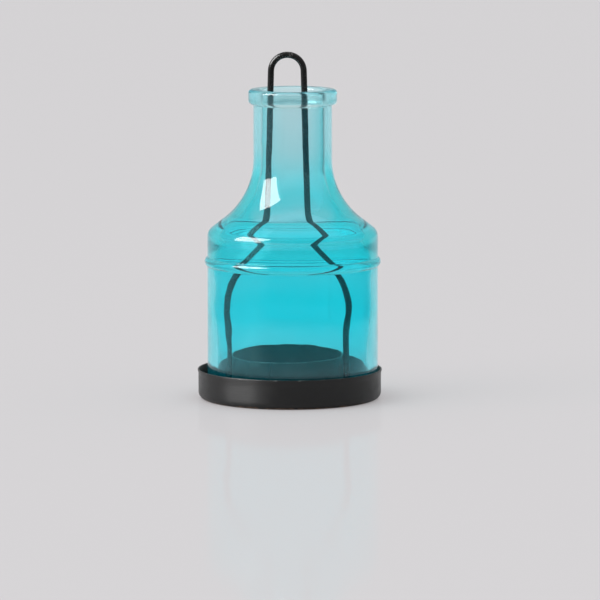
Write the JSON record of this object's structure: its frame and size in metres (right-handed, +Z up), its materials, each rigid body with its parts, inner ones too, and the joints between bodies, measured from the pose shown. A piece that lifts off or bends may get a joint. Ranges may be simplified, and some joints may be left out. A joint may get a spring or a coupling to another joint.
{
  "type": "candle lantern",
  "caption": "Hanging candle lantern: bottle-shaped teal glass chimney standing loose in a black sheet tray, around a candle ring and a bent wire hanger whose loop rises through the neck.",
  "frame": {"origin": "middle of the tray's underside, on the surface the lantern stands on", "axes": "+Z up; the wire hanger lies in the XZ plane; the front, where the ring's lap is, faces -Y"},
  "size_m": [0.0704, 0.0704, 0.1324],
  "materials": {
    "black_coat": "satin black coat on pressed steel sheet",
    "wire_coat": "satin black coat on steel wire",
    "weld_coat": "black coat over weld beads",
    "teal_glass": "clear glass tinted turquoise, paler towards the mouth"
  },
  "bodies": {
    "base": {"tray": "black_coat", "candle_ring": "black_coat", "ring_welds": "weld_coat", "hanger": "wire_coat", "hanger_welds": "weld_coat"},
    "glass": {"glass_chimney": "teal_glass"}
  },
  "joints": [
    {"name": "glass_lift", "type": "slide", "parent": "base", "child": "glass", "axis": [0, 0, 1], "range_m": [0, 0.14]}
  ]
}
